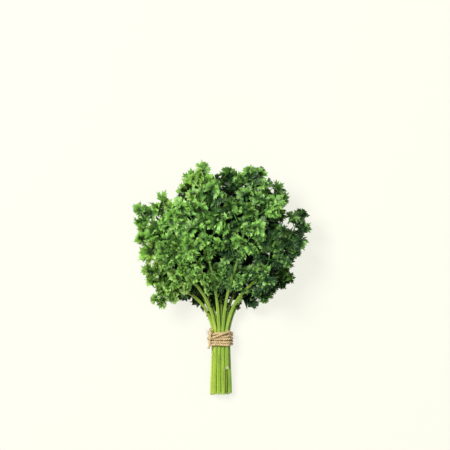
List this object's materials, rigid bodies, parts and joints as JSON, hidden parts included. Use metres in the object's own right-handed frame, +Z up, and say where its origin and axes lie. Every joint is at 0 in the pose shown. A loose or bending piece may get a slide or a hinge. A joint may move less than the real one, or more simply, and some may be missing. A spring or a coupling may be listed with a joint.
{
  "type": "parsley bunch",
  "caption": "Bunch of curly parsley with cut stems and a full leafy head, tied with jute twine and lying on its side.",
  "frame": {"origin": "under the middle of the bunch, on the surface that it lies on", "axes": "+X to the right across the bunch, +Y along the stems from the cut ends to the leaves, +Z up from the surface"},
  "size_m": [0.1372, 0.1782, 0.0505],
  "materials": {
    "parsley": "fresh green leaf with a soft waxy gloss, paler and yellower on the stems and their cut ends",
    "jute": "matt twisted jute with loose fibres"
  },
  "bodies": {
    "root": {"leafy_stem_01": "parsley", "leafy_stem_02": "parsley", "leafy_stem_03": "parsley", "leafy_stem_04": "parsley", "leafy_stem_05": "parsley", "leafy_stem_06": "parsley", "leafy_stem_07": "parsley", "leafy_stem_08": "parsley", "leafy_stem_09": "parsley", "leafy_stem_10": "parsley", "leafy_stem_11": "parsley", "leafy_stem_12": "parsley", "leafy_stem_13": "parsley", "twine_tie": "jute"}
  },
  "joints": []
}
